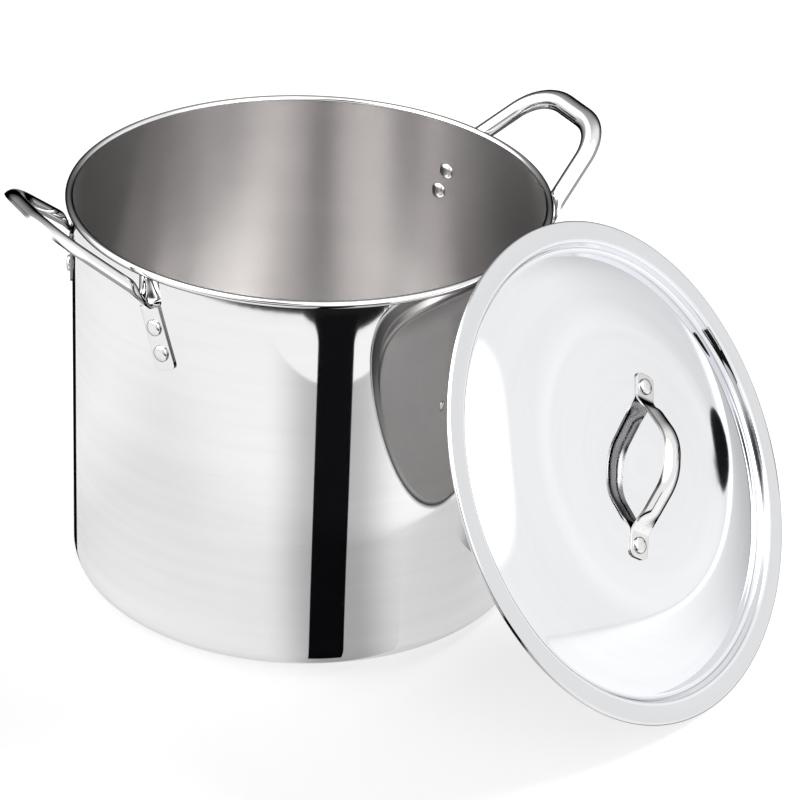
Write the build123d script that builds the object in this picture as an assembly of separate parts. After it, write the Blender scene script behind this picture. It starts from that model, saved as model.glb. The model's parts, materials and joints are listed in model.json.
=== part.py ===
from build123d import *
import math
import os

# Water bath canner: a tall thin-walled stainless pot with two stamped side handles,
# and its domed lid, which has been taken off and leans on the pot's rim.
# Millimetres. The origin is the centre of the pot's base, +Z is up, and the side
# handles lie on the X axis.

# ---- pot
POT_RADIUS = 155.0            # outside of the wall
POT_HEIGHT = 272.0            # top of the rolled rim
POT_SHEET = 0.8
POT_CORNER_RADIUS = 15.0      # outside, between base and wall
POT_BEAD_RADIUS = 2.6         # rolled rim
POT_BEAD_SWEEP = 300.0        # degrees of curl

# ---- side handles
HANDLE_SHEET = 1.5
HANDLE_WIDTH = 15.0
HANDLE_CROWN = 7.0            # height of the pressed channel
HANDLE_REACH = 45.0           # from the wall out to the grip's centre line
HANDLE_GRIP_Z = 294.3
HANDLE_GRIP_HALF = 36.2       # half the distance between the two grip corners
HANDLE_CORNER_RADIUS = 34.0
HANDLE_FLATTEN = 18.0         # length over which the channel runs out flat
HANDLE_FOOT_ANGLE = 22.7      # degrees round the wall, either side of the middle
HANDLE_FOOT_Z = 247.5
TAB_SPLAY = 19.5              # degrees that a tab leans away from the middle
TAB_LENGTH = 44.0
TAB_OVERLAP = 2.0             # of the tab up past the foot
TAB_CORNER = 4.0

# ---- rivets
RIVET_SHANK_RADIUS = 2.5
RIVET_HEAD_RADIUS = 5.4
RIVET_HEAD_HEIGHT = 2.2
RIVETS_DOWN_TAB = {"upper": 14.9, "lower": 32.1}    # from the foot

# ---- lid, drawn with its own +Z out of the dome and 0 at the flange's top
LID_SHEET = 0.7
LID_BEAD_RADIUS = 1.6
LID_BEAD_CENTRE = 163.1
LID_BEAD_SWEEP = 280.0
LID_FLANGE_INNER = 151.5      # where the flat flange turns down into the groove
LID_FLANGE_TURN = 2.0
LID_GROOVE_DEPTH = 5.8
LID_GROOVE_TURN = 3.0
LID_GROOVE_SLOPE = 65.0       # degrees
LID_SHOULDER_SLOPE = 28.6     # degrees, where the dome rises out of the groove
LID_CROWN_RADIUS = 1400.0
LID_CROWN_EDGE = 82.0         # where the crown turns down into the shoulder

# ---- lid handle
LID_HANDLE_SHEET = 1.2
LID_HANDLE_WIDTH = 16.5
LID_HANDLE_CROWN = 4.0
LID_HANDLE_HEIGHT = 24.5      # hollow side of the arch above the middle of the dome
LID_HANDLE_FOOT = 45.0        # from the lid's centre
LID_HANDLE_TOP_HALF = 13.2
LID_HANDLE_CORNER_RADIUS = 32.0
LID_HANDLE_FLATTEN = 12.0
LID_HANDLE_OVERLAP = 2.5
LID_RIVET_OUT = 53.8          # from the lid's centre
LID_TAB_END = 62.5

# ---- how the lid leans
LID_LEAN = 58.16              # degrees between the lid's axis and the vertical
LID_BEARING = -63.0           # degrees from +X towards +Y, of the lid's axis
LID_SIDE_STEP = 16.1          # sideways, from the rim contact to the lid's centre
LID_HANDLE_TURN = 49.7        # degrees from level towards straight up the lid
LID_REST_GAP = 0.3            # between lid and rim, and between lid and floor

# ---- fits
SEAT_GAP = 0.05               # between a riveted piece and what it lies on
HEAD_HOLLOW = 0.1             # how far a flat head stands in a curved wall
HOLE_DEPTH = 12.0             # of a rivet hole's cutter


# ---------------------------------------------------------------- shared shapes

def face_of(edges):
    return make_face(Wire(edges))


def polar(centre, radius, degrees):
    turn = math.radians(degrees)
    return (centre[0] + radius * math.cos(turn), centre[1] + radius * math.sin(turn))


def spin(face):
    """Turns a section drawn as (radius, height) about +Z."""
    return revolve(Plane.XZ * face, axis=Axis.Z)


def dome(height):
    """A low rivet head, its flat side on Z = 0."""
    ball = (RIVET_HEAD_RADIUS ** 2 + height ** 2) / (2 * height)
    centre = (0, height - ball)
    edge = math.degrees(math.asin(RIVET_HEAD_RADIUS / ball))
    return spin(face_of([
        Line((0, 0), (RIVET_HEAD_RADIUS, 0)),
        CenterArc(centre, ball, 90 - edge, edge),
        Line((0, height), (0, 0)),
    ]))


def rivet(outer_seat, inner_seat):
    """A rivet along Z: a head on the outer seat, another under the inner one."""
    middle = (outer_seat + inner_seat) / 2
    shank = Pos(0, 0, middle) * Cylinder(RIVET_SHANK_RADIUS, outer_seat - inner_seat)
    outer = Pos(0, 0, outer_seat) * dome(RIVET_HEAD_HEIGHT)
    inner = Pos(0, 0, inner_seat) * Rot(180, 0, 0) * dome(RIVET_HEAD_HEIGHT)
    return shank + outer + inner


def rivet_hole():
    return Cylinder(RIVET_SHANK_RADIUS + SEAT_GAP, HOLE_DEPTH)


def channel(width, crown, sheet):
    """Cross-section of a strap pressed into a channel, its crown towards +Y."""
    half = width / 2
    inner = half - sheet
    return face_of([
        ThreePointArc((-half, 0), (0, crown), (half, 0)),
        Line((half, 0), (inner, 0)),
        ThreePointArc((inner, 0), (0, crown - sheet), (-inner, 0)),
        Line((-inner, 0), (-half, 0)),
    ])


def strap(foot, top, corner_radius, full, flat, flatten, overlap, crown_side=None):
    """A pressed strap drawn in the XY plane and symmetrical about Y.

    Two straight legs rise from the feet to a level top with round corners. The
    channel runs out flat towards each foot and goes on past it by the overlap.
    Its crown points along crown_side, or else outwards round the arch.
    """
    rise = (Vector(*top) - Vector(*foot)).normalized()
    start = Vector(*foot) + rise * flatten
    end = Vector(*foot) - rise * overlap

    def section(face, point, side):
        along = Vector(rise.X * side, rise.Y)
        crown = crown_side or Vector(rise.Y * side, -rise.X)
        where = (point.X * side, point.Y)
        return Plane(origin=where, x_dir=crown.cross(along), z_dir=along) * face

    path = FilletPolyline(
        (start.X, start.Y), top, (-top[0], top[1]), (-start.X, start.Y),
        radius=corner_radius,
    )
    body = sweep(section(full, start, 1), path=path)
    for side in (1, -1):
        body += loft([section(flat, end, side), section(full, start, side)])
    return body


# ---------------------------------------------------------------- pot

BEAD_Z = POT_HEIGHT - POT_BEAD_RADIUS
BEAD_X = POT_RADIUS - POT_SHEET + POT_BEAD_RADIUS


def wall_plane(degrees, height):
    """A plane on the outside of the pot's wall: Z out of the wall, Y straight up."""
    turn = math.radians(degrees)
    out = Vector(math.cos(turn), math.sin(turn), 0)
    return Plane(
        origin=out * POT_RADIUS + Vector(0, 0, height),
        x_dir=(-out.Y, out.X, 0),
        z_dir=out,
    )


def tab_place(down):
    """Degrees from the handle's middle, and height, of a point down a tab."""
    lean = math.radians(TAB_SPLAY)
    round_wall = math.degrees(down * math.sin(lean) / POT_RADIUS)
    return HANDLE_FOOT_ANGLE + round_wall, HANDLE_FOOT_Z - down * math.cos(lean)


def rivet_places():
    """Name and wall plane of each rivet of the side handles."""
    places = {}
    for handle, middle in (("right", 0), ("left", 180)):
        rear = 1 if handle == "right" else -1
        for end, side in (("front", -rear), ("rear", rear)):
            for level, down in RIVETS_DOWN_TAB.items():
                angle, height = tab_place(down)
                name = f"{handle}_handle_{end}_{level}_rivet"
                places[name] = wall_plane(middle + side * angle, height)
    return places


def pot_shell():
    """Base, wall and rolled rim, spun from one sheet, with the rivet holes."""
    inside = POT_RADIUS - POT_SHEET
    corner = (POT_RADIUS - POT_CORNER_RADIUS, POT_CORNER_RADIUS)
    bead = (BEAD_X, BEAD_Z)
    bead_inner = POT_BEAD_RADIUS - POT_SHEET
    curl_end = 180 - POT_BEAD_SWEEP
    shell = spin(face_of([
        Line((0, 0), (corner[0], 0)),
        CenterArc(corner, POT_CORNER_RADIUS, -90, 90),
        Line((POT_RADIUS, corner[1]), (POT_RADIUS, BEAD_Z)),
        CenterArc(bead, bead_inner, 180, -POT_BEAD_SWEEP),
        Line(polar(bead, bead_inner, curl_end), polar(bead, POT_BEAD_RADIUS, curl_end)),
        CenterArc(bead, POT_BEAD_RADIUS, curl_end, POT_BEAD_SWEEP),
        Line((inside, BEAD_Z), (inside, corner[1])),
        CenterArc(corner, POT_CORNER_RADIUS - POT_SHEET, 0, -90),
        Line((corner[0], POT_SHEET), (0, POT_SHEET)),
        Line((0, POT_SHEET), (0, 0)),
    ]))
    for plane in rivet_places().values():
        shell -= plane * rivet_hole()
    return shell


def handle_tab(side):
    """One riveting tab of the right handle, curved to lie on the wall."""
    angle, height = tab_place(TAB_LENGTH / 2)
    length = TAB_LENGTH + TAB_OVERLAP
    outline = Pos(0, TAB_OVERLAP / 2) * Rectangle(HANDLE_WIDTH, length)
    outline = fillet(outline.vertices().group_by(Axis.Y)[0], TAB_CORNER)
    blank = Rot(0, 0, side * TAB_SPLAY) * extrude(outline, HOLE_DEPTH / 2, both=True)
    inner = POT_RADIUS + SEAT_GAP
    ring = Cylinder(inner + HANDLE_SHEET, POT_HEIGHT) - Cylinder(inner, POT_HEIGHT)
    return wall_plane(side * angle, height) * blank & Pos(0, 0, POT_HEIGHT / 2) * ring


def side_handle():
    """The handle on +X: a stamped U with a pressed grip, tilted up out of the wall."""
    turn = math.radians(HANDLE_FOOT_ANGLE)
    foot_x = POT_RADIUS * math.cos(turn)
    out = POT_RADIUS + HANDLE_REACH - foot_x
    up = HANDLE_GRIP_Z - HANDLE_FOOT_Z
    length = math.hypot(out, up)
    grip_plane = Plane(
        origin=(foot_x, 0, HANDLE_FOOT_Z), x_dir=(0, -1, 0), z_dir=(-up, 0, out))
    grip = strap(
        foot=(POT_RADIUS * math.sin(turn), 0),
        top=(HANDLE_GRIP_HALF, length),
        corner_radius=HANDLE_CORNER_RADIUS,
        full=channel(HANDLE_WIDTH, HANDLE_CROWN, HANDLE_SHEET),
        flat=channel(HANDLE_WIDTH, HANDLE_SHEET, HANDLE_SHEET * 0.9),
        flatten=HANDLE_FLATTEN,
        overlap=HANDLE_SHEET * 3,
        crown_side=Vector(0, 0, 1),
    )
    grip = grip_plane * grip
    grip -= Cylinder(POT_RADIUS + SEAT_GAP, 3 * POT_HEIGHT)
    handle = grip + handle_tab(1) + handle_tab(-1)
    for name, plane in rivet_places().items():
        if name.startswith("right"):
            handle -= plane * rivet_hole()
    return handle


# ---------------------------------------------------------------- lid

def lid_geometry():
    """Centres and radii of the arcs that make up the lid's section."""
    groove = math.radians(LID_GROOVE_SLOPE)
    slope = math.radians(LID_SHOULDER_SLOPE)
    start = math.asin(LID_CROWN_EDGE / LID_CROWN_RADIUS)
    turn = (LID_FLANGE_INNER, -LID_FLANGE_TURN)
    high = polar(turn, LID_FLANGE_TURN, 90 + LID_GROOVE_SLOPE)
    bottom_z = LID_GROOVE_TURN - LID_GROOVE_DEPTH
    low_z = bottom_z - LID_GROOVE_TURN * math.cos(groove)
    low_x = high[0] - (high[1] - low_z) / math.tan(groove)
    bottom = (low_x - LID_GROOVE_TURN * math.sin(groove), bottom_z)
    edge = polar(bottom, LID_GROOVE_TURN, 270 - LID_SHOULDER_SLOPE)
    radius = (edge[0] - LID_CROWN_EDGE) / (math.sin(slope) - math.sin(start))
    shoulder = (edge[0] - radius * math.sin(slope), edge[1] - radius * math.cos(slope))
    crown_z = shoulder[1] - (LID_CROWN_RADIUS - radius) * math.cos(start)
    return turn, bottom, shoulder, radius, (0, crown_z), math.degrees(start)


def lid_skin(depth):
    """The lid's section from its axis out to its curl, this far under its top face."""
    turn, bottom, shoulder, shoulder_radius, crown, start = lid_geometry()
    rise = 90 + LID_GROOVE_SLOPE
    fall = 270 + LID_GROOVE_SLOPE
    bend = LID_FLANGE_TURN - depth
    dip = LID_GROOVE_TURN + depth
    return [
        CenterArc(crown, LID_CROWN_RADIUS - depth, 90, -start),
        CenterArc(shoulder, shoulder_radius - depth, 90 - start, start - LID_SHOULDER_SLOPE),
        CenterArc(bottom, dip, 270 - LID_SHOULDER_SLOPE, LID_SHOULDER_SLOPE + LID_GROOVE_SLOPE),
        Line(polar(bottom, dip, fall), polar(turn, bend, rise)),
        CenterArc(turn, bend, rise, -LID_GROOVE_SLOPE),
        Line((turn[0], -depth), (LID_BEAD_CENTRE, -depth)),
    ]


def lid_crown_height():
    crown = lid_geometry()[4]
    return crown[1] + LID_CROWN_RADIUS


def lid_rivet_planes():
    """A plane on the crown at each rivet: Z out of the lid, X out along the handle."""
    crown_z = lid_geometry()[4][1]
    planes = {}
    for name, side in (("lower", -1), ("upper", 1)):
        turn = math.asin(LID_RIVET_OUT / LID_CROWN_RADIUS)
        out = Vector(side * math.sin(turn), 0, math.cos(turn))
        planes[f"lid_handle_{name}_rivet"] = Plane(
            origin=Vector(0, 0, crown_z) + out * LID_CROWN_RADIUS,
            x_dir=(side * math.cos(turn), 0, -math.sin(turn)),
            z_dir=out,
        )
    return planes


def lid_shell():
    """Dome, groove, flange and rolled edge, spun from one sheet."""
    bead = (LID_BEAD_CENTRE, -LID_BEAD_RADIUS)
    inner = LID_BEAD_RADIUS - LID_SHEET
    end = 90 - LID_BEAD_SWEEP
    top = lid_crown_height()
    shell = spin(face_of([
        *lid_skin(0),
        CenterArc(bead, LID_BEAD_RADIUS, 90, -LID_BEAD_SWEEP),
        Line(polar(bead, LID_BEAD_RADIUS, end), polar(bead, inner, end)),
        CenterArc(bead, inner, end, LID_BEAD_SWEEP),
        *lid_skin(LID_SHEET),
        Line((0, top - LID_SHEET), (0, top)),
    ]))
    for plane in lid_rivet_planes().values():
        shell -= plane * rivet_hole()
    return shell


def lid_handle():
    """An arched strap across the crown, with a flat riveting tab at each end."""
    top = lid_crown_height()
    arch_plane = Plane(origin=(0, 0, top), x_dir=(1, 0, 0), z_dir=(0, -1, 0))
    handle = arch_plane * strap(
        foot=(LID_HANDLE_FOOT, 0),
        top=(LID_HANDLE_TOP_HALF, LID_HANDLE_HEIGHT),
        corner_radius=LID_HANDLE_CORNER_RADIUS,
        full=channel(LID_HANDLE_WIDTH, LID_HANDLE_CROWN, LID_HANDLE_SHEET),
        flat=channel(LID_HANDLE_WIDTH, LID_HANDLE_SHEET, LID_HANDLE_SHEET * 0.9),
        flatten=LID_HANDLE_FLATTEN,
        overlap=LID_HANDLE_SHEET * 3,
    )
    tab_start = LID_HANDLE_FOOT - LID_HANDLE_OVERLAP
    tab_length = LID_TAB_END - tab_start
    tab_middle = (LID_TAB_END + tab_start) / 2 - LID_RIVET_OUT
    outline = Pos(tab_middle, 0) * Rectangle(tab_length, LID_HANDLE_WIDTH)
    outline = fillet(outline.vertices().group_by(Axis.X)[-1], TAB_CORNER)
    tab = Pos(0, 0, SEAT_GAP) * extrude(outline, LID_HANDLE_SHEET)
    for plane in lid_rivet_planes().values():
        handle += plane * tab
    crown = lid_geometry()[4]
    handle -= Pos(0, 0, crown[1]) * Sphere(LID_CROWN_RADIUS + SEAT_GAP / 2)
    for plane in lid_rivet_planes().values():
        handle -= plane * rivet_hole()
    return handle


def lid_place():
    """Where the leaning lid stands: its edge on the floor, its flange on the pot's rim."""
    lean = math.radians(LID_LEAN)
    bearing = math.radians(LID_BEARING)
    out = Vector(math.cos(bearing), math.sin(bearing), 0)
    across = Vector(-out.Y, out.X, 0)
    normal = out * math.sin(lean) + Vector(0, 0, math.cos(lean))
    up_lid = normal.cross(across)
    below = LID_BEAD_RADIUS + LID_BEAD_RADIUS * math.cos(lean)
    centre_z = LID_REST_GAP + below + LID_BEAD_CENTRE * math.sin(lean)
    rim = BEAD_X * math.sin(lean) + BEAD_Z * math.cos(lean)
    flange = rim + POT_BEAD_RADIUS + LID_REST_GAP + LID_SHEET
    distance = (flange - centre_z * math.cos(lean)) / math.sin(lean)
    turn = math.radians(LID_HANDLE_TURN)
    return Plane(
        origin=out * distance + across * LID_SIDE_STEP + Vector(0, 0, centre_z),
        x_dir=across * math.cos(turn) + up_lid * math.sin(turn),
        z_dir=normal,
    )


# ---------------------------------------------------------------- assembly

def assembly():
    """Every node by name, in the part's own frame."""
    nodes = {"pot_shell": pot_shell()}
    nodes["right_side_handle"] = side_handle()
    nodes["left_side_handle"] = Rot(0, 0, 180) * nodes["right_side_handle"]
    pot_rivet = rivet(HANDLE_SHEET + 2 * SEAT_GAP, -POT_SHEET - SEAT_GAP - HEAD_HOLLOW)
    for name, plane in rivet_places().items():
        nodes[name] = plane * pot_rivet

    lid = lid_place()
    nodes["lid_shell"] = lid * lid_shell()
    nodes["lid_handle"] = lid * lid_handle()
    lid_rivet = rivet(LID_HANDLE_SHEET + 2 * SEAT_GAP, -LID_SHEET - SEAT_GAP)
    for name, plane in lid_rivet_planes().items():
        nodes[name] = lid * (plane * lid_rivet)
    print("lid axis", lid.z_dir, "lid centre", lid.origin, "handle", lid.x_dir)
    return nodes


os.makedirs("parts", exist_ok=True)
for node, shape in assembly().items():
    export_step(shape, f"parts/{node}.step")
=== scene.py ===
"""Looks for the water bath canner: polished stainless pot, brushed inside, and its leaning lid."""

import json
import math

import bpy
from mathutils import Matrix, Quaternion, Vector


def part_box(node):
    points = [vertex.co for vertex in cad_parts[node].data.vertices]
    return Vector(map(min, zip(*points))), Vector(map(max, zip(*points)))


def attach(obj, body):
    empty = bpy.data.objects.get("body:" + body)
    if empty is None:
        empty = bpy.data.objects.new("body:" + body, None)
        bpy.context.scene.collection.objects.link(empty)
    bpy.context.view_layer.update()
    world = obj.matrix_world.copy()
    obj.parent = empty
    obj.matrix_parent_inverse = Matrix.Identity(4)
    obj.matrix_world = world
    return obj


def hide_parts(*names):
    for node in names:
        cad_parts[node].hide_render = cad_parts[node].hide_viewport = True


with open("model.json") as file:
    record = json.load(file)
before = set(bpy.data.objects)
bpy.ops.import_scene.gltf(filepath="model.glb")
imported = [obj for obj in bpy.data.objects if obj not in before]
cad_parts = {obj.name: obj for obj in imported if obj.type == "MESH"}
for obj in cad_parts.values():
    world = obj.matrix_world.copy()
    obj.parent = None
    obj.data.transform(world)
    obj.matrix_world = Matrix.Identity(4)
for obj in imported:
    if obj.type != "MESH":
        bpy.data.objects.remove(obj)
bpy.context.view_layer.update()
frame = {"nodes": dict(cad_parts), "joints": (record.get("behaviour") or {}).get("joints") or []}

MM = 0.001

# ---------------------------------------------------------------- sizes, in millimetres

POT_RADIUS = 155.0
POT_HEIGHT = 272.0
POT_SHEET = 0.8
POT_CORNER = 15.0
POT_BEAD = 2.6
POT_CURL = 300.0              # degrees
POT_SEGMENTS = 256

HANDLE_SHEET = 1.5
HANDLE_WIDTH = 15.0
HANDLE_CROWN = 7.0
HANDLE_GRIP = (200.0, 36.2, 294.3)   # out from the axis, to either side, up
HANDLE_FOOT_ANGLE = 22.7
HANDLE_FOOT_Z = 247.5
HANDLE_CORNER = 34.0
HANDLE_FOLD = 4.0
TAB_SPLAY = 19.5
TAB_LENGTH = 44.0
SEAT_GAP = 0.05

RIVET_SHANK = 2.5
RIVET_HEAD = 5.4
RIVET_DOME = 2.2
RIVET_FULLNESS = (3.2, 2.0)   # of the outer and the inner head
RIVETS_DOWN_TAB = {"upper": 14.9, "lower": 32.1}

LID_SHEET = 0.7
LID_BEAD = 1.6
LID_BEAD_CENTRE = 163.1
LID_CURL = 280.0
LID_FLANGE_INNER = 151.5
LID_FLANGE_TURN = 2.0
LID_GROOVE_DEPTH = 5.8
LID_GROOVE_TURN = 3.0
LID_GROOVE_SLOPE = 65.0
LID_SHOULDER_SLOPE = 28.6
LID_CROWN_RADIUS = 1400.0
LID_CROWN_EDGE = 82.0
LID_SEGMENTS = 256

LID_HANDLE_SHEET = 1.2
LID_HANDLE_WIDTH = 16.5
LID_HANDLE_CROWN = 4.0
LID_HANDLE_TOP = (13.2, 24.5)
LID_HANDLE_FOOT = 45.0
LID_HANDLE_CORNER = 32.0
LID_RIVET_OUT = 53.8
LID_TAB_END = 62.5


HOLD = 0.8                    # how close to an end a straight run is held
STRAP_COLUMNS = 20
# The edge columns of a strap's crowned part take the darker steel, painted shade.
STRAP_PAINTED_SHADE_COLUMNS = 2        # of the columns across a strap, on either side
STRAP_ROUND_EDGE = 0.35
TAB_CORNER = 4.0


# ---------------------------------------------------------------- outlines

def arc(centre, radius, start, sweep, step=6.0):
    """Points along an arc, angles in degrees."""
    count = max(2, math.ceil(abs(sweep) / step))
    turns = [math.radians(start + sweep * i / count) for i in range(count + 1)]
    return [(centre[0] + radius * math.cos(t), centre[1] + radius * math.sin(t)) for t in turns]


def held(start, end, hold):
    """Points inside a straight run: one close to each end, to keep the shading true."""
    a, b = Vector(start), Vector(end)
    length = (b - a).length
    return [tuple(a.lerp(b, mark)) for mark in (hold / length, 1 - hold / length)]


def tidy_outline(points, apart=0.01):
    """Drops each point that repeats the one before it."""
    kept = [points[0]]
    for point in points[1:]:
        if (Vector(point) - Vector(kept[-1])).length > apart:
            kept.append(point)
    return kept


def run(*parts):
    """Joins arcs and single points, with held points on each straight run between them."""
    line = list(parts[0])
    for part in parts[1:]:
        gap = (Vector(line[-1]) - Vector(part[0])).length
        if gap > 0.05:
            line += held(line[-1], part[0], min(HOLD, gap / 4))
        line += part
    return tidy_outline(line)


# ---------------------------------------------------------------- making meshes

def deselect():
    bpy.ops.object.select_all(action="DESELECT")


def edit(piece):
    deselect()
    bpy.context.view_layer.objects.active = piece
    piece.select_set(True)
    bpy.ops.object.mode_set(mode="EDIT")
    bpy.ops.mesh.select_all(action="SELECT")


def leave():
    bpy.ops.object.mode_set(mode="OBJECT")


def smooth(piece, degrees=35):
    deselect()
    bpy.context.view_layer.objects.active = piece
    piece.select_set(True)
    bpy.ops.object.shade_smooth_by_angle(angle=math.radians(degrees))


def spun(name, outline, segments):
    """Spins a closed outline of (radius, height) points, in millimetres, about +Z."""
    deselect()
    bpy.ops.mesh.primitive_circle_add(vertices=len(outline), radius=1)
    piece = bpy.context.object
    piece.name = name
    for vertex, (radius, height) in zip(piece.data.vertices, outline):
        vertex.co = Vector((radius, 0, height)) * MM
    edit(piece)
    bpy.ops.mesh.spin(steps=segments, angle=2 * math.pi, center=(0, 0, 0), axis=(0, 0, 1))
    bpy.ops.mesh.select_all(action="SELECT")
    bpy.ops.mesh.remove_doubles(threshold=0.01 * MM)
    bpy.ops.mesh.dissolve_degenerate(threshold=0.001 * MM)
    bpy.ops.mesh.select_all(action="SELECT")
    bpy.ops.mesh.delete_loose()
    bpy.ops.mesh.select_all(action="SELECT")
    bpy.ops.mesh.normals_make_consistent(inside=False)
    leave()
    smooth(piece)
    return piece


def copy_of(piece, name, place):
    """A copy with its own mesh, moved by the matrix."""
    twin = piece.copy()
    twin.data = piece.data.copy()
    twin.name = name
    twin.data.name = name
    bpy.context.scene.collection.objects.link(twin)
    twin.data.transform(place)
    return twin


def in_millimetres(origin, x_axis, y_axis, z_axis):
    """A matrix from its axes, with its origin given in millimetres."""
    place = Matrix((x_axis, y_axis, z_axis)).transposed().to_4x4()
    place.translation = Vector(origin) * MM
    return place


# ---------------------------------------------------------------- pot shell

def pot_outline():
    inside = POT_RADIUS - POT_SHEET
    corner = (POT_RADIUS - POT_CORNER, POT_CORNER)
    bead = (inside + POT_BEAD, POT_HEIGHT - POT_BEAD)
    return run(
        [(0, 0)],
        arc(corner, POT_CORNER, -90, 90),
        arc(bead, POT_BEAD - POT_SHEET, 180, -POT_CURL, 15),
        arc(bead, POT_BEAD, 180 - POT_CURL, POT_CURL, 10),
        arc(corner, POT_CORNER - POT_SHEET, 0, -90),
        [(0, POT_SHEET)],
    )


def make_pot():
    pot = spun("pot_body", pot_outline(), POT_SEGMENTS)
    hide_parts("pot_shell")
    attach(pot, "pot")
    return pot


# ---------------------------------------------------------------- rivets

def head(fullness):
    """Half the section of a rivet head, from its top to its edge; 2 is round, more is flatter."""
    line = []
    for i in range(13):
        turn = math.pi / 2 * i / 12
        line.append((RIVET_HEAD * math.sin(turn) ** (2 / fullness),
                     RIVET_DOME * math.cos(turn) ** (2 / fullness)))
    return line


def rivet_outline(outer_seat, inner_seat):
    """A shank with a flat-topped head outside and a domed one inside."""
    top = [(r, outer_seat + z) for r, z in head(RIVET_FULLNESS[0])]
    bottom = [(r, inner_seat - z) for r, z in reversed(head(RIVET_FULLNESS[1]))]
    return run(top, [(RIVET_SHANK, outer_seat)], [(RIVET_SHANK, inner_seat)], bottom)


def make_rivet(name, node, body, seats, place):
    rivet = spun(name, rivet_outline(*seats), 40)
    rivet.data.transform(place)
    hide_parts(node)
    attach(rivet, body)
    return rivet


# ---------------------------------------------------------------- pressed straps

def rounded(points, radii, step):
    """Samples a chain of straight runs with round corners.

    Gives (place, direction, mark) where mark counts runs: 1.5 is halfway round the
    corner between run 1 and run 2.
    """
    samples = []
    before = points[0]
    for i in range(1, len(points)):
        last = i == len(points) - 1
        start_direction = (points[i] - points[i - 1]).normalized()
        if last:
            end = points[i]
        else:
            next_direction = (points[i + 1] - points[i]).normalized()
            turn = start_direction.angle(next_direction)
            cut = radii[i - 1] * math.tan(turn / 2)
            end = points[i] - start_direction * cut
        count = max(1, round((end - before).length / step))
        for k in range(count):
            samples.append((before.lerp(end, k / count), start_direction, float(i)))
        if last:
            samples.append((end, start_direction, float(i)))
            break
        inward = (next_direction - start_direction * math.cos(turn)).normalized()
        centre = end + inward * radii[i - 1]
        count = max(6, round(radii[i - 1] * turn / step))
        for k in range(count):
            a = turn * k / count
            place = centre - inward * radii[i - 1] * math.cos(a) \
                + start_direction * radii[i - 1] * math.sin(a)
            direction = start_direction * math.cos(a) + inward * math.sin(a)
            samples.append((place, direction, i + k / count))
        before = points[i] + next_direction * cut
    return samples


def pressed_strap(name, samples, across, crowns, width):
    """A strap along the samples; across gives each one's width direction.

    Its second material, a darker steel that is painted shade, goes to the two edges of the
    crowned part.
    """
    deselect()
    bpy.ops.mesh.primitive_grid_add(
        x_subdivisions=STRAP_COLUMNS, y_subdivisions=len(samples) - 1, size=2)
    piece = bpy.context.object
    piece.name = name
    for index, vertex in enumerate(piece.data.vertices):
        row, column = divmod(index, STRAP_COLUMNS + 1)
        place, direction, _ = samples[row]
        side = across[row]
        crown_way = side.cross(direction).normalized()
        side = direction.cross(crown_way).normalized()
        share = 2 * column / STRAP_COLUMNS - 1
        crown = crowns[row]
        bow = 2 * math.atan(2 * crown / width)
        if bow < 0.02:
            offset, height = share * width / 2, crown * (1 - share ** 2)
        else:
            radius = width / (2 * math.sin(bow))
            offset = radius * math.sin(bow * share)
            height = radius * (math.cos(bow * share) - math.cos(bow))
        vertex.co = (place + side * offset + crown_way * height) * MM
    paint(piece, bpy.data.materials["bright_handles"], bpy.data.materials["painted_shade_handle_steel"])
    # Painted shade: the edge columns of the crowned part take the darker steel.
    for index, face in enumerate(piece.data.polygons):
        row, column = divmod(index, STRAP_COLUMNS)
        if crowns[row] > 1.0 and min(column, STRAP_COLUMNS - 1 - column) < STRAP_PAINTED_SHADE_COLUMNS:
            face.material_index = 1
    return piece


def finish_strap(piece, thickness, crown_way):
    """Gives the strap its sheet thickness, inwards from its crown, and round edges.

    The crown way is the one in the middle of the strap. Its second material, a darker steel
    that is painted shade, goes to the hollow side and the cut edge.
    """
    edit(piece)
    bpy.ops.mesh.normals_make_consistent(inside=False)
    leave()
    middle = piece.data.polygons[len(piece.data.polygons) // 2]
    if middle.normal.dot(crown_way) < 0:
        edit(piece)
        bpy.ops.mesh.flip_normals()
        leave()
    wall = piece.modifiers.new("wall", "SOLIDIFY")
    wall.thickness = thickness * MM
    wall.material_offset = 1
    wall.material_offset_rim = 1
    wall.offset = -1
    wall.use_even_offset = True
    round_edge = piece.modifiers.new("edge", "BEVEL")
    round_edge.width = STRAP_ROUND_EDGE * MM
    round_edge.segments = 3
    round_edge.limit_method = "ANGLE"
    round_edge.angle_limit = math.radians(50)
    deselect()
    bpy.context.view_layer.objects.active = piece
    piece.select_set(True)
    bpy.ops.object.modifier_apply(modifier="wall")
    bpy.ops.object.modifier_apply(modifier="edge")
    smooth(piece)


def ease(share):
    share = min(1.0, max(0.0, share))
    return share * share * (3 - 2 * share)


def wall_place(angle, height, out=0.0):
    turn = math.radians(angle)
    radius = POT_RADIUS + out
    return Vector((radius * math.cos(turn), radius * math.sin(turn), height))


def tab_place(down, out=0.0, side=1):
    """A point on the middle line of the right handle's tab, on the wall."""
    lean = math.radians(TAB_SPLAY)
    angle = HANDLE_FOOT_ANGLE + math.degrees(down * math.sin(lean) / POT_RADIUS)
    return wall_place(side * angle, HANDLE_FOOT_Z - down * math.cos(lean), out)


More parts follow.
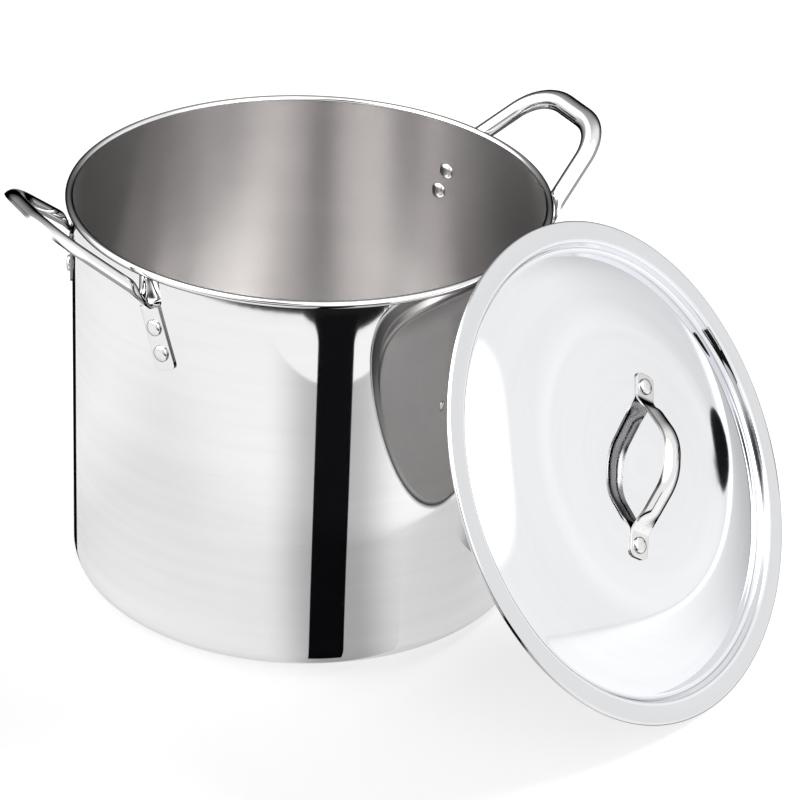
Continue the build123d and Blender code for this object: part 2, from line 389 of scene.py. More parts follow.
def side_handle_strap():
    """The right handle: tab, leg, grip, leg, tab. Its crowned side lies on the wall at the tabs."""
    out, half, up = HANDLE_GRIP
    half_route = [tab_place(TAB_LENGTH, SEAT_GAP), tab_place(0, SEAT_GAP), Vector((out, half, up))]
    mirrored = [Vector((p.x, -p.y, p.z)) for p in reversed(half_route)]
    points = half_route + mirrored
    samples = rounded(points, [HANDLE_FOLD, HANDLE_CORNER, HANDLE_CORNER, HANDLE_FOLD], 1.5)

    runs = [(points[i + 1] - points[i]).normalized() for i in range(5)]
    crown_way = runs[1].cross(runs[2]).normalized()
    if crown_way.z < 0:
        crown_way.negate()
    middle = tab_place(TAB_LENGTH / 2)
    to_wall = -Vector((middle.x, middle.y, 0)).normalized()
    to_wall_mirror = Vector((to_wall.x, -to_wall.y, 0))
    ways = [to_wall, crown_way, crown_way, crown_way, to_wall_mirror]
    sides = [d.cross(c).normalized() for d, c in zip(runs, ways)]

    across = []
    crowns = []
    legs = [points[1], points[4]]
    for place, direction, mark in samples:
        whole = min(int(mark), 5)
        part = mark - whole
        if 2 <= mark < 4:
            side = direction.cross(crown_way)
        elif part > 0 and whole < 5:
            side = sides[whole - 1].lerp(sides[whole], ease(part)).normalized()
        else:
            side = sides[whole - 1]
        across.append(side)
        from_foot = min((place - foot).length for foot in legs)
        on_tab = mark < 1.5 or mark > 4.5
        crowns.append(0.0 if on_tab else HANDLE_CROWN * ease((from_foot - 1.5) / 18.0))
    return samples, across, crowns, crown_way


def seat_on_wall(piece, face):
    """Bends the flat tabs to lie on the round wall, and keeps the feet of the legs out of it."""
    low = (HANDLE_FOOT_Z - 3) * MM
    for vertex in piece.data.vertices:
        flat = Vector((vertex.co.x, vertex.co.y))
        wanted = (POT_RADIUS + face) * MM
        share = ease((low - vertex.co.z) / (6 * MM))
        if flat.length < wanted:
            share = 1.0
        flat *= 1 + share * (wanted / flat.length - 1)
        vertex.co.x, vertex.co.y = flat


def trim_tab_corners(piece, samples):
    """Rounds the lower corners of the tabs, by pulling in the width of the last rows."""
    columns = STRAP_COLUMNS + 1
    for row in range(len(samples)):
        from_end = min(
            (samples[row][0] - samples[0][0]).length, (samples[row][0] - samples[-1][0]).length)
        if from_end >= TAB_CORNER:
            continue
        round_off = max(0.0, TAB_CORNER ** 2 - (TAB_CORNER - from_end) ** 2)
        pulled = TAB_CORNER - math.sqrt(round_off)
        scale = 1 - pulled / (HANDLE_WIDTH / 2)
        middle = samples[row][0] * MM
        for vertex in piece.data.vertices[row * columns:(row + 1) * columns]:
            vertex.co = middle + (vertex.co - middle) * scale


def make_side_handles():
    samples, across, crowns, crown_way = side_handle_strap()
    handle = pressed_strap("right_handle_strap", samples, across, crowns, HANDLE_WIDTH)
    trim_tab_corners(handle, samples)
    seat_on_wall(handle, SEAT_GAP)
    finish_strap(handle, HANDLE_SHEET, crown_way)
    # The outward faces of the tabs, on the hollow side, keep the bright steel instead of the painted
    # shade.
    for face in handle.data.polygons:
        outward = Vector((face.center.x, face.center.y, 0)).normalized()
        if face.center.z < (HANDLE_FOOT_Z + 2) * MM and face.normal.dot(outward) > 0.8:
            face.material_index = 0
    other = copy_of(handle, "left_handle_strap", Matrix.Rotation(math.pi, 4, "Z"))
    for piece, node in ((handle, "right_side_handle"), (other, "left_side_handle")):
        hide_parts(node)
        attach(piece, "pot")
    return handle, other


def make_pot_rivets():
    seats = (HANDLE_SHEET + 2 * SEAT_GAP, -POT_SHEET - 0.1)
    rivets = []
    for handle, turn in (("right", 0), ("left", math.pi)):
        spin = Matrix.Rotation(turn, 4, "Z")
        rear = 1 if handle == "right" else -1
        for end, side in (("front", -rear), ("rear", rear)):
            for level, down in RIVETS_DOWN_TAB.items():
                place = tab_place(down, side=side)
                out = Vector((place.x, place.y, 0)).normalized()
                up = Vector((0, 0, 1))
                seat = spin @ in_millimetres(place, up.cross(out), up, out)
                name = f"{handle}_{end}_{level}_rivet_heads"
                node = f"{handle}_handle_{end}_{level}_rivet"
                rivets.append(make_rivet(name, node, "pot", seats, seat))
    return rivets


# ---------------------------------------------------------------- lid

def lid_matrix():
    """The lid's own axes, from its joint and its rivets: Z out of the dome, X along the handle."""
    axis = Vector(frame["joints"][0]["axis"]).normalized()
    upper, lower = (
        (low + high) / 2
        for low, high in map(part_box, ("lid_handle_upper_rivet", "lid_handle_lower_rivet"))
    )
    along = (upper - lower).normalized()
    along = (along - axis * along.dot(axis)).normalized()
    shell = frame["nodes"]["lid_shell"].data.vertices
    top = max(v.co.dot(axis) for v in shell)
    middle = (upper + lower) / 2
    flange = top - lid_crown_height() * MM
    origin = middle + axis * (flange - middle.dot(axis))
    place = Matrix((along, axis.cross(along), axis)).transposed().to_4x4()
    place.translation = origin
    return place


def polar(centre, radius, degrees):
    turn = math.radians(degrees)
    return (centre[0] + radius * math.cos(turn), centre[1] + radius * math.sin(turn))


def lid_arcs():
    """Centres and radii of the arcs in the lid's section."""
    groove = math.radians(LID_GROOVE_SLOPE)
    slope = math.radians(LID_SHOULDER_SLOPE)
    start = math.asin(LID_CROWN_EDGE / LID_CROWN_RADIUS)
    turn = (LID_FLANGE_INNER, -LID_FLANGE_TURN)
    high = polar(turn, LID_FLANGE_TURN, 90 + LID_GROOVE_SLOPE)
    bottom_z = LID_GROOVE_TURN - LID_GROOVE_DEPTH
    low_z = bottom_z - LID_GROOVE_TURN * math.cos(groove)
    low_x = high[0] - (high[1] - low_z) / math.tan(groove)
    bottom = (low_x - LID_GROOVE_TURN * math.sin(groove), bottom_z)
    edge = polar(bottom, LID_GROOVE_TURN, 270 - LID_SHOULDER_SLOPE)
    radius = (edge[0] - LID_CROWN_EDGE) / (math.sin(slope) - math.sin(start))
    shoulder = (edge[0] - radius * math.sin(slope), edge[1] - radius * math.cos(slope))
    crown_z = shoulder[1] - (LID_CROWN_RADIUS - radius) * math.cos(start)
    return turn, bottom, shoulder, radius, (0, crown_z), math.degrees(start)


def lid_crown_height():
    return lid_arcs()[4][1] + LID_CROWN_RADIUS


def lid_skin(depth):
    """The lid's section from its axis to its curl, this far under its top face."""
    turn, bottom, shoulder, shoulder_radius, crown, start = lid_arcs()
    dip = LID_GROOVE_TURN + depth
    bend = LID_FLANGE_TURN - depth
    return run(
        arc(crown, LID_CROWN_RADIUS - depth, 90, -start, 0.35),
        arc(shoulder, shoulder_radius - depth, 90 - start, start - LID_SHOULDER_SLOPE, 1.2),
        arc(bottom, dip, 270 - LID_SHOULDER_SLOPE, LID_SHOULDER_SLOPE + LID_GROOVE_SLOPE, 6),
        arc(turn, bend, 90 + LID_GROOVE_SLOPE, -LID_GROOVE_SLOPE, 6),
    )


def lid_outline():
    bead = (LID_BEAD_CENTRE, -LID_BEAD)
    end = 90 - LID_CURL
    top, under = lid_skin(0), lid_skin(LID_SHEET)
    curl = arc(bead, LID_BEAD, 90, -LID_CURL, 10)
    back = arc(bead, LID_BEAD - LID_SHEET, end, LID_CURL, 20)
    return run(top, curl, back, list(reversed(under)))


def make_lid(place):
    lid = spun("lid_dome", lid_outline(), LID_SEGMENTS)
    lid.data.transform(place)
    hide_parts("lid_shell")
    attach(lid, "lid")
    return lid


def crown_at(out):
    """Height of the lid's crown this far from its centre."""
    return lid_arcs()[4][1] + math.sqrt(LID_CROWN_RADIUS ** 2 - out ** 2)


def make_lid_handle(place):
    half, rise = LID_HANDLE_TOP
    face = SEAT_GAP + LID_HANDLE_SHEET
    top = lid_crown_height()
    half_route = [
        Vector((LID_TAB_END, 0, crown_at(LID_TAB_END) + face)),
        Vector((LID_HANDLE_FOOT, 0, crown_at(LID_HANDLE_FOOT) + face)),
        Vector((half, 0, top + rise)),
    ]
    points = half_route + [Vector((-p.x, 0, p.z)) for p in reversed(half_route)]
    corner = LID_HANDLE_CORNER
    samples = rounded(points, [6.0, corner, corner, 6.0], 1.2)
    across = [Vector((0, 1, 0))] * len(samples)
    feet = [points[1], points[4]]
    crowns = []
    for spot, _, mark in samples:
        away = min((spot - foot).length for foot in feet)
        on_tab = mark < 1.5 or mark > 4.5
        crowns.append(0.0 if on_tab else LID_HANDLE_CROWN * ease((away - 2.0) / 14.0))
    handle = pressed_strap(
        "lid_handle_strap", samples, across, crowns, LID_HANDLE_WIDTH)
    trim_tab_corners(handle, samples)
    finish_strap(handle, LID_HANDLE_SHEET, Vector((0, 0, 1)))
    handle.data.transform(place)
    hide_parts("lid_handle")
    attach(handle, "lid")
    return handle


def make_lid_rivets(place):
    seats = (LID_HANDLE_SHEET + 2 * SEAT_GAP, -LID_SHEET - SEAT_GAP)
    rivets = []
    lean = math.asin(LID_RIVET_OUT / LID_CROWN_RADIUS)
    for name, side in (("lower", -1), ("upper", 1)):
        out = Vector((side * math.sin(lean), 0, math.cos(lean)))
        along = Vector((math.cos(lean), 0, -side * math.sin(lean)))
        centre = Vector((0, 0, lid_arcs()[4][1])) + out * LID_CROWN_RADIUS
        seat = place @ in_millimetres(centre, along, out.cross(along), out)
        node = f"lid_handle_{name}_rivet"
        rivets.append(make_rivet(f"{node}_heads", node, "lid", seats, seat))
    return rivets


# ---------------------------------------------------------------- effects shared by the steels

def new_group(name, inputs, outputs):
    group = bpy.data.node_groups.new(name, "ShaderNodeTree")
    for label, kind, value in inputs:
        socket = group.interface.new_socket(label, in_out="INPUT", socket_type=kind)
        if value is not None:
            socket.default_value = value
    for label, kind in outputs:
        group.interface.new_socket(label, in_out="OUTPUT", socket_type=kind)
    entry = group.nodes.new("NodeGroupInput")
    leave_node = group.nodes.new("NodeGroupOutput")
    return group, entry, leave_node


def add(tree, kind, **values):
    """A node with its settings, and its inputs by name where they are numbers or links."""
    node = tree.nodes.new(kind)
    for key, value in values.items():
        if key == "inputs":
            continue
        setattr(node, key, value)
    for key, value in values.get("inputs", {}).items():
        if isinstance(value, bpy.types.NodeSocket):
            tree.links.new(value, node.inputs[key])
        else:
            node.inputs[key].default_value = value
    return node


def maths(tree, operation, a, b=0.0, clamp=False):
    return add(tree, "ShaderNodeMath", operation=operation, use_clamp=clamp,
               inputs={0: a, 1: b}).outputs[0]


FLOAT, VECTOR, COLOUR = "NodeSocketFloat", "NodeSocketVector", "NodeSocketColor"


def ring_lines():
    """Short fine lines round the Z axis, as a spinning brush or polishing mop leaves them."""
    group, entry, leave_node = new_group(
        "ring_lines",
        [("Vector", VECTOR, None), ("Pitch", FLOAT, 900.0), ("Dash", FLOAT, 60.0)],
        [("Height", FLOAT), ("Tone", FLOAT)])
    parts = add(group, "ShaderNodeSeparateXYZ", inputs={0: entry.outputs["Vector"]})
    squares = maths(group, "ADD", maths(group, "MULTIPLY", parts.outputs[0], parts.outputs[0]),
                    maths(group, "MULTIPLY", parts.outputs[1], parts.outputs[1]))
    radius = maths(group, "SQRT", squares)
    spot = add(group, "ShaderNodeCombineXYZ", inputs={
        0: maths(group, "MULTIPLY", parts.outputs[0], entry.outputs["Dash"]),
        1: maths(group, "MULTIPLY", parts.outputs[1], entry.outputs["Dash"]),
        2: maths(group, "MULTIPLY", parts.outputs[2], entry.outputs["Pitch"]),
    })
    across = maths(group, "MULTIPLY", radius, entry.outputs["Pitch"])
    fine = add(group, "ShaderNodeTexNoise", noise_dimensions="4D", inputs={
        "Vector": spot.outputs[0], "W": across, "Scale": 1.0, "Detail": 3.0, "Roughness": 0.6})
    broad = add(group, "ShaderNodeTexNoise", noise_dimensions="4D", inputs={
        "Vector": spot.outputs[0], "W": across, "Scale": 0.12, "Detail": 3.0, "Roughness": 0.6})
    group.links.new(fine.outputs["Fac"], leave_node.inputs["Height"])
    group.links.new(broad.outputs["Fac"], leave_node.inputs["Tone"])
    return group


def handling():
    """Soft smudges and a few fine scratches, as use leaves them."""
    group, entry, leave_node = new_group(
        "handling", [("Vector", VECTOR, None), ("Scale", FLOAT, 9.0)],
        [("Smudge", FLOAT), ("Scratch", FLOAT)])
    smudge = add(group, "ShaderNodeTexNoise", inputs={
        "Vector": entry.outputs["Vector"], "Scale": entry.outputs["Scale"],
        "Detail": 5.0, "Roughness": 0.6, "Distortion": 0.6})
    shaped = add(group, "ShaderNodeMapRange", inputs={
        "Value": smudge.outputs["Fac"], "From Min": 0.45, "From Max": 0.75})
    stretched = add(group, "ShaderNodeMapping", inputs={
        "Vector": entry.outputs["Vector"], "Rotation": (0.4, 0.9, 0.3), "Scale": (4.0, 60.0, 60.0)})
    lines = add(group, "ShaderNodeTexNoise", inputs={
        "Vector": stretched.outputs[0], "Scale": 18.0, "Detail": 2.0})
    thin = add(group, "ShaderNodeMapRange", inputs={
        "Value": lines.outputs["Fac"], "From Min": 0.70, "From Max": 0.78})
    group.links.new(shaped.outputs[0], leave_node.inputs["Smudge"])
    group.links.new(thin.outputs[0], leave_node.inputs["Scratch"])
    return group


def waves():
    """The slight unevenness of thin sheet that has been drawn and polished."""
    group, entry, leave_node = new_group(
        "waves", [("Vector", VECTOR, None), ("Scale", FLOAT, 6.0)], [("Height", FLOAT)])
    noise = add(group, "ShaderNodeTexNoise", inputs={
        "Vector": entry.outputs["Vector"], "Scale": entry.outputs["Scale"],
        "Detail": 1.0, "Roughness": 0.4})
    group.links.new(noise.outputs["Fac"], leave_node.inputs["Height"])
    return group


GROUPS = {"ring_lines": ring_lines(), "handling": handling(), "waves": waves()}


def use(tree, name, **inputs):
    node = tree.nodes.new("ShaderNodeGroup")
    node.node_tree = GROUPS[name]
    for key, value in inputs.items():
        if isinstance(value, bpy.types.NodeSocket):
            tree.links.new(value, node.inputs[key])
        else:
            node.inputs[key].default_value = value
    return node


# ---------------------------------------------------------------- steels

def steel(name, colour, roughness, roughness_spread, line_pitch, line_depth, wave_depth,
          place=None, wave_scale=6.0, anisotropic=0.0, painted_edge_reflection=None, painted_corner_highlight=0.0):
    """Bare stainless steel. The place turns the ring lines to a piece's own axis.

    Edge darkening is (start, full, depth): where the base colour, seen at a glancing angle,
    begins and ends going towards near black, a painted reflection of the dark far side of a
    studio, and how much. The corner highlight lightens the base colour of the round corner
    between the wall and the floor: a painted highlight.
    """
    material = bpy.data.materials.new(name)
    material.use_nodes = True
    tree = material.node_tree
    shader = tree.nodes["Principled BSDF"]
    spot = add(tree, "ShaderNodeTexCoord").outputs["Object"]
    if place is not None:
        turned = add(tree, "ShaderNodeMapping", vector_type="TEXTURE", inputs={
            "Vector": spot, "Location": place.translation, "Rotation": place.to_euler()})
        spot = turned.outputs[0]
    rings = use(tree, "ring_lines", Vector=spot, Pitch=line_pitch)
    marks = use(tree, "handling", Vector=spot)
    sheet = use(tree, "waves", Vector=spot, Scale=wave_scale)

    tone = add(tree, "ShaderNodeMapRange", inputs={
        "Value": rings.outputs["Tone"], "To Min": 0.94, "To Max": 1.04})
    tinted = add(tree, "ShaderNodeMix", data_type="RGBA", blend_type="MULTIPLY", inputs={0: 1.0})
    tinted.inputs[6].default_value = (*colour, 1)
    shade = add(tree, "ShaderNodeCombineColor", inputs={
        0: tone.outputs[0], 1: tone.outputs[0], 2: tone.outputs[0]})
    tree.links.new(shade.outputs[0], tinted.inputs[7])
    colour_out = tinted.outputs[2]
    # Painted highlight: the base colour goes towards white along the round corner between the wall
    # and the floor.
    if painted_corner_highlight:
        height = add(tree, "ShaderNodeSeparateXYZ", inputs={0: spot}).outputs[2]
        above, below = (add(tree, "ShaderNodeMapRange", interpolation_type="SMOOTHSTEP", inputs={
            "Value": height, "From Min": low * MM, "From Max": high * MM}).outputs[0]
            for low, high in ((0.9, 3.0), (18.0, 7.0)))
        glow = maths(tree, "MULTIPLY", maths(tree, "MULTIPLY", above, below), painted_corner_highlight)
        lighter = add(tree, "ShaderNodeMix", data_type="RGBA", inputs={0: glow})
        tree.links.new(colour_out, lighter.inputs[6])
        lighter.inputs[7].default_value = (1, 1, 1, 1)
        colour_out = lighter.outputs[2]
    # Painted reflection: at glancing angles the base colour goes towards near black, for the dark far
    # side of a studio.
    if painted_edge_reflection:
        glance = add(tree, "ShaderNodeLayerWeight", inputs={"Blend": 0.5}).outputs["Facing"]
        start, full, depth = painted_edge_reflection
        dim = add(tree, "ShaderNodeMapRange", interpolation_type="SMOOTHSTEP", inputs={
            "Value": glance, "From Min": start, "From Max": full, "To Max": depth})
        darker = add(tree, "ShaderNodeMix", data_type="RGBA", inputs={0: dim.outputs[0]})
        tree.links.new(colour_out, darker.inputs[6])
        darker.inputs[7].default_value = (0.02, 0.02, 0.022, 1)
        colour_out = darker.outputs[2]
        tree.links.new(colour_out, shader.inputs["Specular Tint"])
    tree.links.new(colour_out, shader.inputs["Base Color"])

    worn = maths(tree, "MAXIMUM", marks.outputs["Smudge"], marks.outputs["Scratch"])
    rough = add(tree, "ShaderNodeMapRange", inputs={
        "Value": worn, "To Min": roughness, "To Max": roughness + roughness_spread})
    tree.links.new(rough.outputs[0], shader.inputs["Roughness"])

    lines = add(tree, "ShaderNodeBump", inputs={
        "Height": rings.outputs["Height"], "Strength": 1.0, "Distance": line_depth})
    uneven = add(tree, "ShaderNodeBump", inputs={
        "Height": sheet.outputs["Height"], "Strength": 1.0, "Distance": wave_depth,
        "Normal": lines.outputs[0]})
    tree.links.new(uneven.outputs[0], shader.inputs["Normal"])
    shader.inputs["Metallic"].default_value = 1.0
    if anisotropic:
        shader.inputs["Anisotropic"].default_value = anisotropic
        shader.inputs["Anisotropic Rotation"].default_value = 0.25
        round_axis = add(tree, "ShaderNodeTangent", direction_type="RADIAL", axis="Z")
        tree.links.new(round_axis.outputs[0], shader.inputs["Tangent"])
    return material


def paint(piece, *materials):
    piece.data.materials.clear()
    for material in materials:
        piece.data.materials.append(material)


def paint_inside(pot, material, rim_material):
    """The wall and floor inside the pot take the brushed steel, and the rolled rim its own."""
    pot.data.materials.append(material)
    pot.data.materials.append(rim_material)
    inner = (POT_RADIUS - POT_SHEET + 0.1) * MM
    rim = (POT_HEIGHT - POT_BEAD) * MM
    for face in pot.data.polygons:
        middle = face.center
        out = Vector((middle.x, middle.y, 0))
        faces_in = face.normal.dot(out) < -1e-6 and abs(face.normal.z) < 0.999
        faces_up = face.normal.z > 0.3 and middle.z < POT_CORNER * MM
        if middle.z < rim and out.length < inner and (faces_in or faces_up):
            face.material_index = 1
        elif middle.z > (POT_HEIGHT - 2 * POT_BEAD - 0.5) * MM and out.length > inner:
            face.material_index = 2


def paint_under(lid, material, edge_material, place):
    """The lid's inner face takes the brushed steel, darkened as painted shade, and its flange and
    rolled edge their own.
    """
    lid.data.materials.append(material)
    lid.data.materials.append(edge_material)
    up = place.to_3x3().col[2]
    back = place.inverted()
    for face in lid.data.polygons:
        middle = back @ face.center
        out = math.hypot(middle.x, middle.y)
        if out > (LID_FLANGE_INNER + 1.0) * MM and face.normal.dot(up) > -0.2:
            face.material_index = 2
        elif face.normal.dot(up) < -0.2 and out < (LID_BEAD_CENTRE - LID_BEAD) * MM:
            face.material_index = 1


# ---------------------------------------------------------------- stage

VIEW_AZIMUTH = -28.12         # degrees round the pot; 0 looks along +Y
VIEW_ELEVATION = 28.24
VIEW_DISTANCE = 2298.0        # from the middle of the pot
VIEW_ROLL = 1.74
POT_LEFT_OF_CENTRE = 1.596    # degrees
POT_ABOVE_CENTRE = 0.409
LENS = 153.9

TABLE_EDGE = 504.0            # how far the white table reaches from the pot's wall
TABLE_CORNER = 53.0
STRIPE_FACES = (3.0, 11.6)    # where the pot's wall mirrors the gap in the table
STRIPE_FLARES = (4.2, 7.0)
SHADE_FACES = (-12, 26)       # the softer dark on either side of the stripe
SHADE = (0.50, 5, 38)         # depth, then degrees at which it starts and ends fading
SIDE_FACES = (-90, -78.7)     # the thin dark line down the pot's left side
BEYOND_TURNS = range(-205, 36, 5)
BEYOND_REACH = 5000
BEYOND_SHADE = (1.0, 30, 80)
FLAG_TURN = 91                # the black spot in the lid; lengths in metres
FLAG_DISTANCE = 1.2
FLAG_SHIFT = (0.088, 0.02, -0.016)
FLAG_HALF = (0.18, 0.075)
FLAG_TILT = 0.05
LID_VEIL_TURNS = (60, 185)
LID_VEIL_AIM = 152
LID_VEIL = (0.48, 8, 80)

FLOOR_WHITE = 0.38
FLOOR_GLOW = (0.585, 0.68)    # in reflections, then to the camera
KEY_PLACE = (2.35, 0.15, 2.5)
KEY_SIZE = (1.4, 1.4)
KEY_POWER = 105
SKY_BASE = 0.97
SKY_FOR_FLOOR = 0.40
SKY_PATCHES = (               # right of the camera, up, inner and outer size, how much brighter
    (38, 52, 12, 36, 3.30),
    (-84, 42, 14, 46, 4.20),
    (-14, 36, 6, 26, -0.88),
    (190, 30, 22, 54, -0.50),
    (106, 12, 9, 20, 0.06),
    (106, 12, 6, 10, -0.05),
    (142, 0, 5, 38, -0.15),
)


def view_axes():
    """Right, up and backward directions of a level camera that looks at the pot."""
    turn, lift = math.radians(VIEW_AZIMUTH), math.radians(VIEW_ELEVATION)
    right = Vector((math.cos(turn), math.sin(turn), 0))
    back = Vector((math.sin(turn) * math.cos(lift), -math.cos(turn) * math.cos(lift), math.sin(lift)))
    return right, back.cross(right), back


def make_camera():
    right, up, back = view_axes()
    aim = Vector((0, 0, 1)).rotation_difference(Vector((
        -math.tan(math.radians(POT_LEFT_OF_CENTRE)), -math.tan(math.radians(POT_ABOVE_CENTRE)), 1)))
    turned = (aim @ Quaternion((0, 0, 1), math.radians(VIEW_ROLL))).to_matrix()
    level = Matrix((right, -up, -back))
    rows = turned @ level
    place = Matrix((rows[0], -rows[1], -rows[2])).transposed().to_4x4()
    middle = Vector((0, 0, POT_HEIGHT * MM / 2))
    place.translation = middle + back * VIEW_DISTANCE * MM
    data = bpy.data.cameras.new("camera")
    data.lens = LENS
    data.sensor_width = 36
    data.clip_end = 50
    camera = bpy.data.objects.new("camera", data)
    camera.matrix_world = place
    bpy.context.scene.collection.objects.link(camera)
    bpy.context.scene.camera = camera


def plain(name, colour, roughness=0.9):
    material = bpy.data.materials.new(name)
    material.use_nodes = True
    shader = material.node_tree.nodes["Principled BSDF"]
    shader.inputs["Base Color"].default_value = (*colour, 1)
    shader.inputs["Roughness"].default_value = roughness
    shader.inputs["Specular IOR Level"].default_value = 0.0
    return material


def make_floor():
    deselect()
    bpy.ops.mesh.primitive_plane_add(size=12, location=(0, 0, 0))
    floor = bpy.context.object
    floor.name = "floor"
    pale = plain("pale_floor", (FLOOR_WHITE,) * 3)
    tree = pale.node_tree
    shader = tree.nodes["Principled BSDF"]
    shader.inputs["Emission Color"].default_value = (1, 1, 1, 1)
    seen = add(tree, "ShaderNodeLightPath").outputs["Is Camera Ray"]
    glow = add(tree, "ShaderNodeMapRange", inputs={
        "Value": seen, "To Min": FLOOR_GLOW[0], "To Max": FLOOR_GLOW[1]})
    tree.links.new(glow.outputs[0], shader.inputs["Emission Strength"])
    paint(floor, pale)


def card(name, left_edge, right_edge, material):
    """A card between two edges that only reflections see, each edge a list of places."""
    deselect()
    bpy.ops.mesh.primitive_grid_add(x_subdivisions=1, y_subdivisions=len(left_edge) - 1, size=2)
    piece = bpy.context.object
    piece.name = name
    for index, vertex in enumerate(piece.data.vertices):
        row, column = divmod(index, 2)
        vertex.co = (right_edge if column else left_edge)[row]
    paint(piece, material)
    piece.visible_camera = False
    piece.visible_diffuse = False
    piece.visible_shadow = False
    return piece


def way(degrees):
    """A level direction, this far to the right of the line from the pot to the camera."""
    turn = math.radians(VIEW_AZIMUTH - 90 + degrees)
    return Vector((math.cos(turn), math.sin(turn), 0))


def floor_spot(face_angle, distance, lift=1.0):
    """The floor point that the wall mirrors at face_angle, this far out from the wall."""
    spot = way(face_angle) * (POT_RADIUS + 2) + way(2 * face_angle) * distance
    return (spot + Vector((0, 0, lift))) * MM


def soft_shade(name, hub, turn, depth, inner, outer):
    """Dark along a direction from the hub and clear this many degrees away from it."""
    material = plain(name, (0.01, 0.01, 0.01))
    tree = material.node_tree
    aim = way(turn)
    turned = add(tree, "ShaderNodeMapping", vector_type="TEXTURE", inputs={
        "Vector": add(tree, "ShaderNodeTexCoord").outputs["Object"],
        "Location": hub * MM, "Rotation": (0, 0, math.atan2(aim.y, aim.x))})
    parts = add(tree, "ShaderNodeSeparateXYZ", inputs={0: turned.outputs[0]})
    angle = maths(tree, "ABSOLUTE", maths(tree, "ARCTAN2", parts.outputs[1], parts.outputs[0]))
    veil = add(tree, "ShaderNodeMapRange", interpolation_type="SMOOTHERSTEP", inputs={
        "Value": angle, "From Min": math.radians(inner), "From Max": math.radians(outer),
        "To Min": depth, "To Max": 0.0})
    tree.links.new(veil.outputs[0], tree.nodes["Principled BSDF"].inputs["Alpha"])
    return material


def make_cards():
    black = plain("black_card", (0.004, 0.004, 0.005))
    reach = TABLE_EDGE - TABLE_CORNER
    edges = []
    for face, flare in ((STRIPE_FACES[0], -STRIPE_FLARES[0]), (STRIPE_FACES[1], STRIPE_FLARES[1])):
        edge = [floor_spot(face, 0), floor_spot(face, reach / 2), floor_spot(face, reach)]
        for i in range(1, 13):
            share = i / 12
            turn = flare * (1 - math.sqrt(1 - share * share))
            edge.append(floor_spot(face + turn, reach + TABLE_CORNER * share))
        edge.append(floor_spot(face + flare, TABLE_EDGE + 80))
        edges.append(edge)
    card("front_stripe", *edges, black)
    middle = sum(STRIPE_FACES)
    fan = [[floor_spot(face, out, 0.5) for out in (0, 300, TABLE_EDGE)] for face in SHADE_FACES]
    shade = soft_shade("front_shade", way(middle / 2) * POT_RADIUS / 2, middle, *SHADE)
    card("front_shade", *fan, shade)
    side = [[floor_spot(face, out) for out in (0, 200, TABLE_EDGE)] for face in SIDE_FACES]
    card("side_stripe", *side, black)
    beyond = []
    for out in (POT_RADIUS + TABLE_EDGE, BEYOND_REACH):
        beyond.append([(way(a) * out + Vector((0, 0, 1.5))) * MM for a in BEYOND_TURNS])
    card("beyond_table", *beyond, soft_shade("beyond_shade", Vector(), middle, *BEYOND_SHADE))

    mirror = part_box("lid_shell")
    hub = (mirror[0] + mirror[1]) / 2
    turn = math.radians(FLAG_TURN)
    aim = Vector((math.sin(turn), -math.cos(turn), 0))
    side_way = Vector((-aim.y, aim.x, 0))
    middle = hub + Vector(FLAG_SHIFT) + aim * FLAG_DISTANCE
    left_edge, right_edge = [], []
    for i in range(-8, 9):
        share = i / 8
        half = FLAG_HALF[1] * math.sqrt(max(0.0, 1 - share * share)) + 0.001
        spot = middle + side_way * FLAG_HALF[0] * share - Vector((0, 0, 1)) * FLAG_TILT * share
        left_edge.append(spot + Vector((0, 0, half)))
        right_edge.append(spot - Vector((0, 0, half)))
    card("side_flag", left_edge, right_edge, black)
    lid_foot = Vector((hub.x, hub.y, 0)) / MM
    veil = [[(lid_foot + way(turn) * out + Vector((0, 0, 0.7))) * MM for out in (60, 400, 2500)]
            for turn in LID_VEIL_TURNS]
    card("lid_shade", *veil, soft_shade("lid_shade", lid_foot, LID_VEIL_AIM, *LID_VEIL))


def lamp(name, place, target, size, power):
    data = bpy.data.lights.new(name, "AREA")
    data.shape = "RECTANGLE"
    data.size, data.size_y = size
    data.energy = power
    piece = bpy.data.objects.new(name, data)
    piece.location = place
    piece.rotation_euler = (Vector(target) - Vector(place)).to_track_quat("-Z", "Y").to_euler()
    piece.visible_glossy = False
    bpy.context.scene.collection.objects.link(piece)
    return piece


def sky_patch(tree, direction, turn, lift, inner, outer):
    """A soft round patch of the studio, this many degrees across from its middle."""
    level = math.radians(VIEW_AZIMUTH - 90 + turn)
    rise = math.radians(lift)
    aim = (math.cos(level) * math.cos(rise), math.sin(level) * math.cos(rise), math.sin(rise))
    near = add(tree, "ShaderNodeVectorMath", operation="DOT_PRODUCT", inputs={0: direction, 1: aim})
    return add(tree, "ShaderNodeMapRange", interpolation_type="SMOOTHSTEP", inputs={
        "Value": near.outputs["Value"], "From Min": math.cos(math.radians(outer)),
        "From Max": math.cos(math.radians(inner))}).outputs[0]


def make_light():
    world = bpy.data.worlds.new("studio")
    bpy.context.scene.world = world
    world.use_nodes = True
    tree = world.node_tree
    background = tree.nodes["Background"]
    direction = add(tree, "ShaderNodeTexCoord").outputs["Generated"]
    level = SKY_BASE
    for turn, lift, inner, outer, gain in SKY_PATCHES:
        patch = sky_patch(tree, direction, turn, lift, inner, outer)
        level = maths(tree, "ADD", level, maths(tree, "MULTIPLY", patch, gain))
    path = add(tree, "ShaderNodeLightPath")
    level = maths(tree, "MAXIMUM", level, path.outputs["Is Camera Ray"])
    even = add(tree, "ShaderNodeMix", data_type="FLOAT", inputs={
        0: path.outputs["Is Diffuse Ray"], 2: level, 3: SKY_FOR_FLOOR})
    tree.links.new(even.outputs[0], background.inputs["Strength"])
    background.inputs["Color"].default_value = (1, 1, 1, 1)
    lamp("key_softbox", KEY_PLACE, (0, 0, 0), KEY_SIZE, KEY_POWER)
    bpy.context.scene.view_settings.view_transform = "Standard"


# ---------------------------------------------------------------- assembly

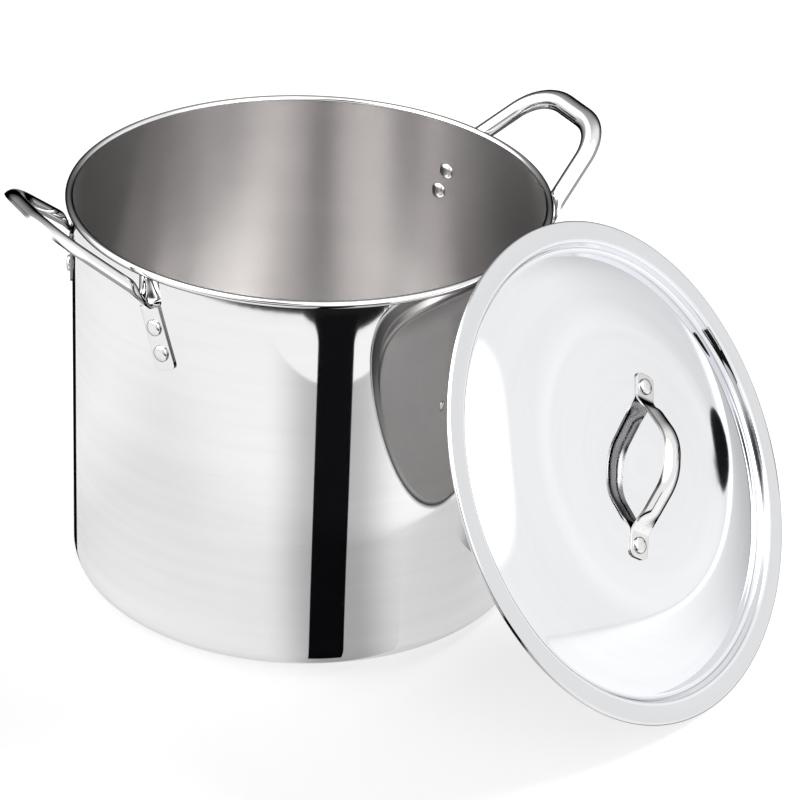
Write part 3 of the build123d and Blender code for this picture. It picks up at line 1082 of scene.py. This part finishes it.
def main():
    lid_place = lid_matrix()
    polished = steel("polished_outside", (0.87, 0.865, 0.87), 0.03, 0.02, 900.0, 0.0000006, 0.00035,
                     painted_edge_reflection=(0.85, 0.98, 0.8))
    rim = steel("polished_rim", (0.85, 0.845, 0.85), 0.05, 0.03, 900.0, 0.0000006, 0.0001,
                painted_edge_reflection=(0.30, 0.70, 0.85))
    brushed = steel("brushed_inside", (0.725, 0.71, 0.705), 0.22, 0.03, 900.0, 0.00002, 0.0003,
                    anisotropic=0.88, painted_corner_highlight=0.75)
    # Darker than the pot's brushed inside: painted shade under the lid.
    lid_underside_painted_shade = steel("brushed_lid_inside_painted_shade", (0.38, 0.37, 0.365), 0.30, 0.04, 900.0, 0.00003, 0.0002,
                        place=lid_place)
    lid_steel = steel("polished_lid", (0.875, 0.885, 0.905), 0.04, 0.04, 800.0, 0.000002, 0.0003,
                      place=lid_place, painted_edge_reflection=(0.78, 0.97, 0.6))
    lid_edge = steel("polished_lid_edge", (0.77, 0.775, 0.79), 0.05, 0.03, 800.0, 0.000001, 0.0001,
                     place=lid_place, painted_edge_reflection=(0.45, 0.80, 0.85))
    steel("bright_handles", (0.86, 0.855, 0.855), 0.05, 0.05, 400.0, 0.000001, 0.0002,
          wave_scale=30.0, painted_edge_reflection=(0.30, 0.72, 0.93))
    # Darker steel: painted shade on the hollow side and the edges of the straps.
    steel("painted_shade_handle_steel", (0.36, 0.35, 0.35), 0.10, 0.08, 400.0, 0.000004, 0.0003,
          wave_scale=30.0, painted_edge_reflection=(0.25, 0.70, 0.9))
    rivet_steel = steel("rivet_heads", (0.84, 0.835, 0.83), 0.09, 0.06, 600.0, 0.000002, 0.0001,
                        wave_scale=60.0, painted_edge_reflection=(0.30, 0.75, 0.75))

    pot = make_pot()
    paint(pot, polished)
    paint_inside(pot, brushed, rim)
    make_side_handles()
    for rivet in make_pot_rivets():
        paint(rivet, rivet_steel)
    lid = make_lid(lid_place)
    paint(lid, lid_steel)
    paint_under(lid, lid_underside_painted_shade, lid_edge, lid_place)
    make_lid_handle(lid_place)
    for rivet in make_lid_rivets(lid_place):
        paint(rivet, rivet_steel)

    make_floor()
    make_cards()
    make_light()
    make_camera()


main()
